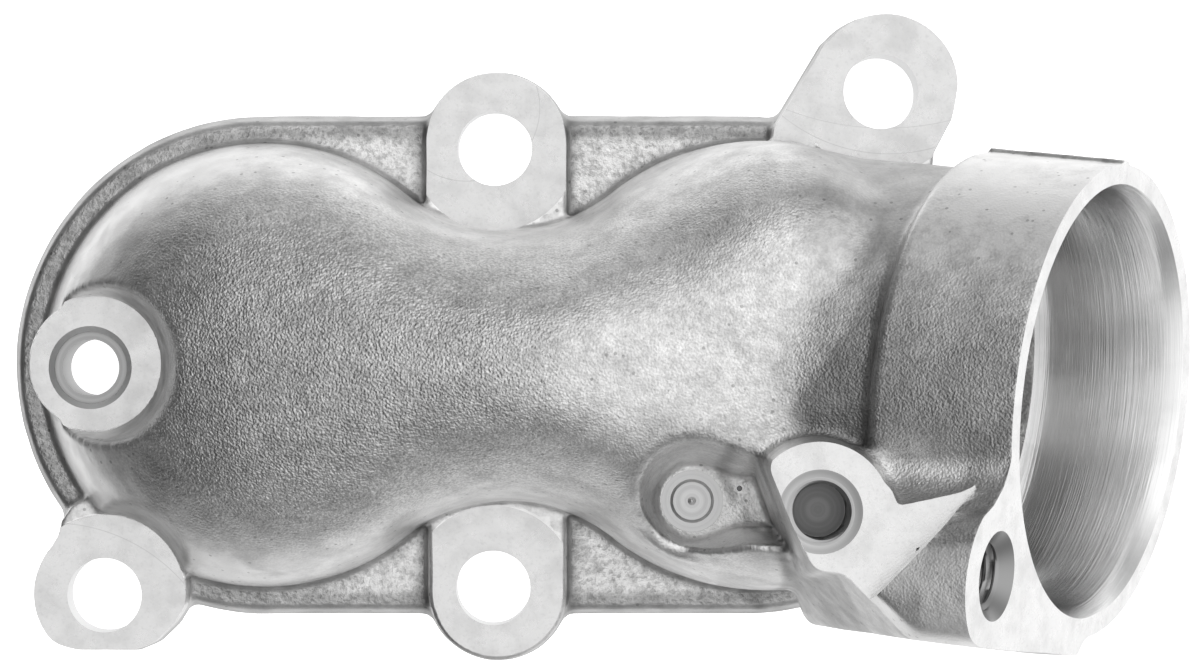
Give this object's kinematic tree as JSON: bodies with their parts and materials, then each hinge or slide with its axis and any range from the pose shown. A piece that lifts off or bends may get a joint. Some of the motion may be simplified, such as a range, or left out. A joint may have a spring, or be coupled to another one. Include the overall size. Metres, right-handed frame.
{
  "type": "coolant water outlet",
  "caption": "Cast aluminium coolant outlet: a waisted hollow dome on a flat bolted flange, with a machined round pipe socket leaving at a shallow angle and a tapped lug beside it.",
  "frame": {"origin": "on the gasket face plane, below the middle of the bounding box", "axes": "+X along the flange towards the pipe socket, +Y towards the side of the flange without the lug, +Z away from the gasket face"},
  "size_m": [0.1428, 0.078, 0.0675],
  "materials": {
    "cast_aluminium": "as-cast with fine grain; boss tops, pad, end face and bore machined bright"
  },
  "bodies": {
    "root": {"outlet_casting": "cast_aluminium"}
  },
  "joints": []
}
